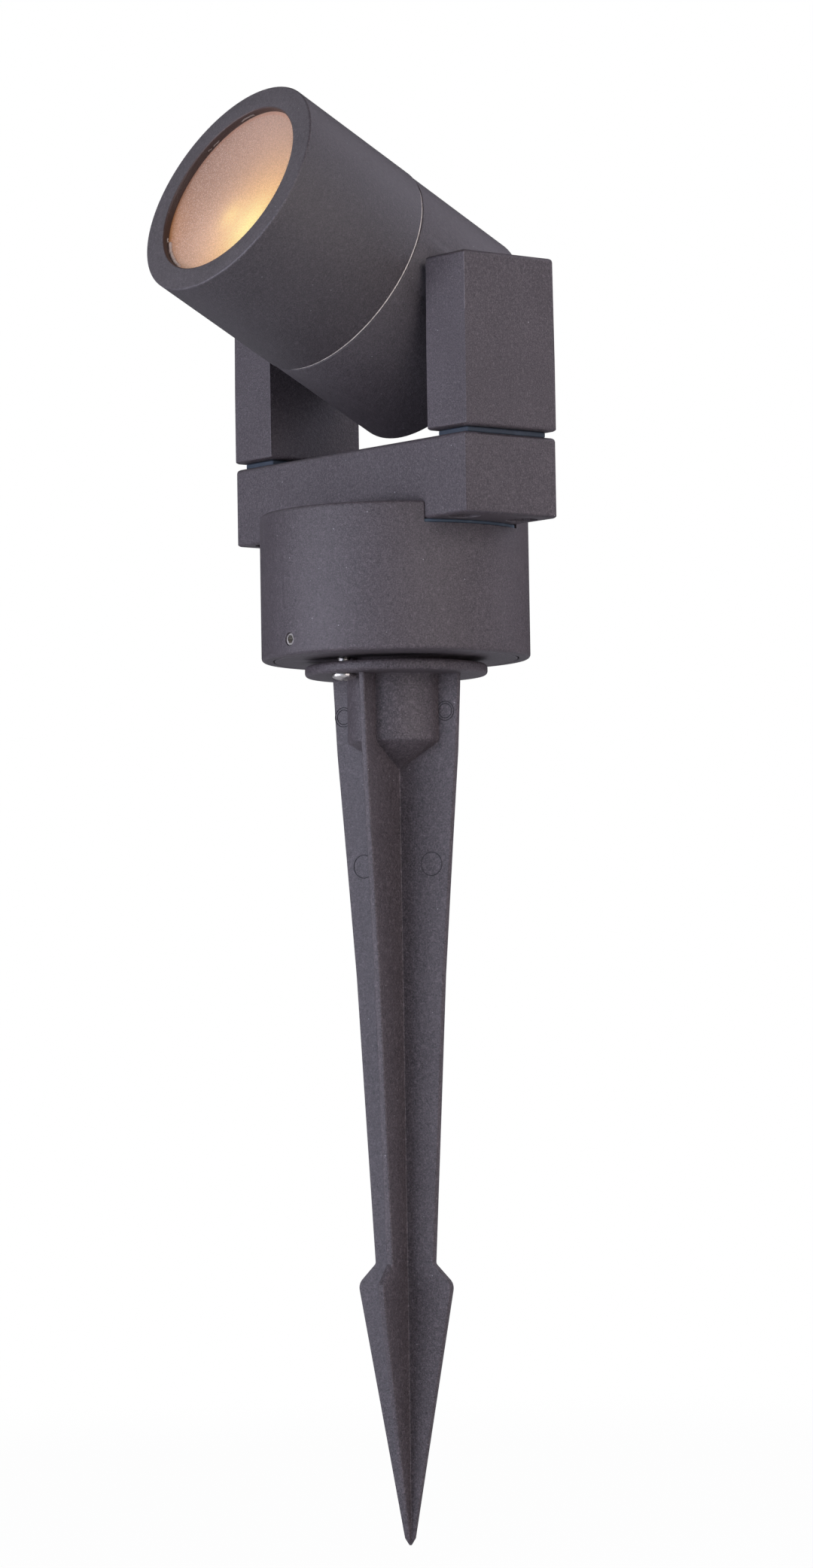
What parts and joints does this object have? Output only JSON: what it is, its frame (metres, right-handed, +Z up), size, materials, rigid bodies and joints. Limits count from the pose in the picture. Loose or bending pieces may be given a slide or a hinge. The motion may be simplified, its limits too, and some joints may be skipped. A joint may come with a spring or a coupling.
{
  "type": "landscape spotlight",
  "caption": "Dark bronze garden spotlight: a cylindrical head tilts between arms on a crossbar, over a cup that swivels on a barbed ground spike.",
  "frame": {"origin": "on the upright axis, at the underside of the spike's flange, which rests on the soil", "axes": "+Z up; +X along the crossbar and the tilt axis; the head aims towards -Y and 26.3 degrees up"},
  "size_m": [0.096, 0.0998, 0.3707],
  "materials": {
    "cast_bronze": "fine-textured dark bronze powder coat on cast aluminium",
    "spike_bronze": "fine-textured dark bronze powder coat on cast aluminium",
    "gasket_blue": "matt blue-grey rubber",
    "black_rubber": "matt black rubber",
    "clear_silicone": "translucent pale silicone",
    "bright_steel": "bright stainless steel",
    "brass_terminal": "plain brass",
    "white_ceramic": "glazed pale ceramic",
    "lead_sleeve": "smooth black sleeve",
    "frosted_glass": "sand-frosted glass lit warm from behind",
    "lamp_glass": "pressed glass reflector"
  },
  "bodies": {
    "spike": {"ground_spike": "spike_bronze", "flange_screws": "bright_steel", "swivel_plate": "cast_bronze", "plate_o_ring": "black_rubber", "cable_grommet": "black_rubber", "terminal_block": "white_ceramic", "terminal_screws": "brass_terminal"},
    "base": {"base_cup": "cast_bronze", "grub_screws": "bright_steel", "slot_gasket": "gasket_blue", "crossbar": "cast_bronze", "cup_screws": "bright_steel", "arm_gasket_left": "gasket_blue", "arm_gasket_right": "gasket_blue", "arm_left": "cast_bronze", "arm_right": "cast_bronze", "arm_screws": "bright_steel", "feed_lead": "lead_sleeve"},
    "head": {"rear_housing": "cast_bronze", "pivot_bolts": "bright_steel", "bolt_washers": "bright_steel", "friction_washers": "black_rubber", "seam_ring": "clear_silicone", "hood_o_ring": "black_rubber", "lamp_holder": "white_ceramic", "holder_bracket": "bright_steel", "bracket_screws": "bright_steel", "lamp": "lamp_glass", "lamp_lead": "lead_sleeve"},
    "hood": {"front_hood": "cast_bronze", "lens": "frosted_glass", "lens_sealant": "clear_silicone", "lens_gasket": "black_rubber", "retaining_ring": "bright_steel"}
  },
  "joints": [
    {"name": "swivel", "type": "hinge", "parent": "spike", "child": "base", "pos_m": [0, 0, 0], "axis": [0, 0, 1], "range_deg": [-180, 180]},
    {"name": "tilt", "type": "hinge", "parent": "base", "child": "head", "pos_m": [0, 0, 0.0962], "axis": [-1, 0, 0], "range_deg": [-46.3, 173.7]},
    {"name": "hood_unscrew", "type": "slide", "parent": "head", "child": "hood", "axis": [0, -0.8965, 0.4431], "range_m": [0, 0.05]}
  ]
}
